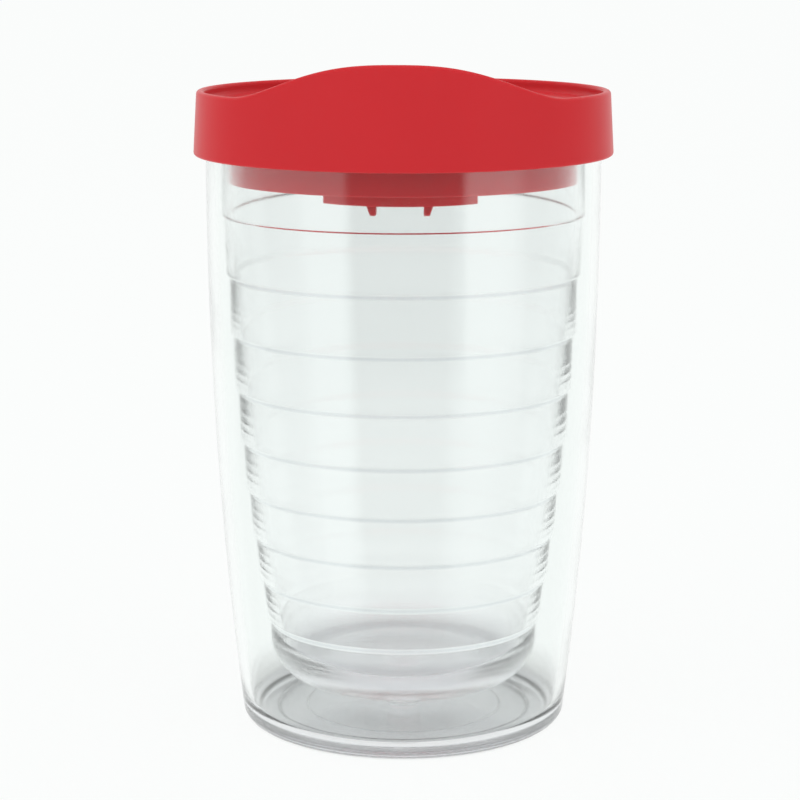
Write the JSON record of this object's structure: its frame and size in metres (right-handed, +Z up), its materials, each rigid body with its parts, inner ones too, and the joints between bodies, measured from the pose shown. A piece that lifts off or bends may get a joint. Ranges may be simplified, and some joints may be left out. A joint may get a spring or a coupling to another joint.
{
  "type": "insulated drinking tumbler with travel lid",
  "caption": "Clear double-wall insulated drinking tumbler with a ringed inner liner and a red push-on travel lid, closed by a sliding shutter.",
  "frame": {"origin": "centre of the foot, on the plane that the cup stands on", "axes": "+Z up along the cup's axis, -Y towards the sip side of the lid"},
  "size_m": [0.091, 0.091, 0.1472],
  "materials": {
    "shell_clear": "polished clear, faint green tint",
    "liner_clear": "polished clear, faint green tint",
    "lid_red": "satin moulded red",
    "slider_red": "satin moulded red"
  },
  "bodies": {
    "tumbler": {"outer_shell": "shell_clear", "inner_liner": "liner_clear"},
    "lid": {"lid_body": "lid_red"},
    "slider": {"lid_slider": "slider_red"}
  },
  "joints": [
    {"name": "lid_lift", "type": "slide", "parent": "tumbler", "child": "lid", "axis": [0, 0, 1], "range_m": [0, 0.06]},
    {"name": "slider_open", "type": "slide", "parent": "lid", "child": "slider", "axis": [0, 1, 0], "range_m": [0, 0.012]}
  ]
}
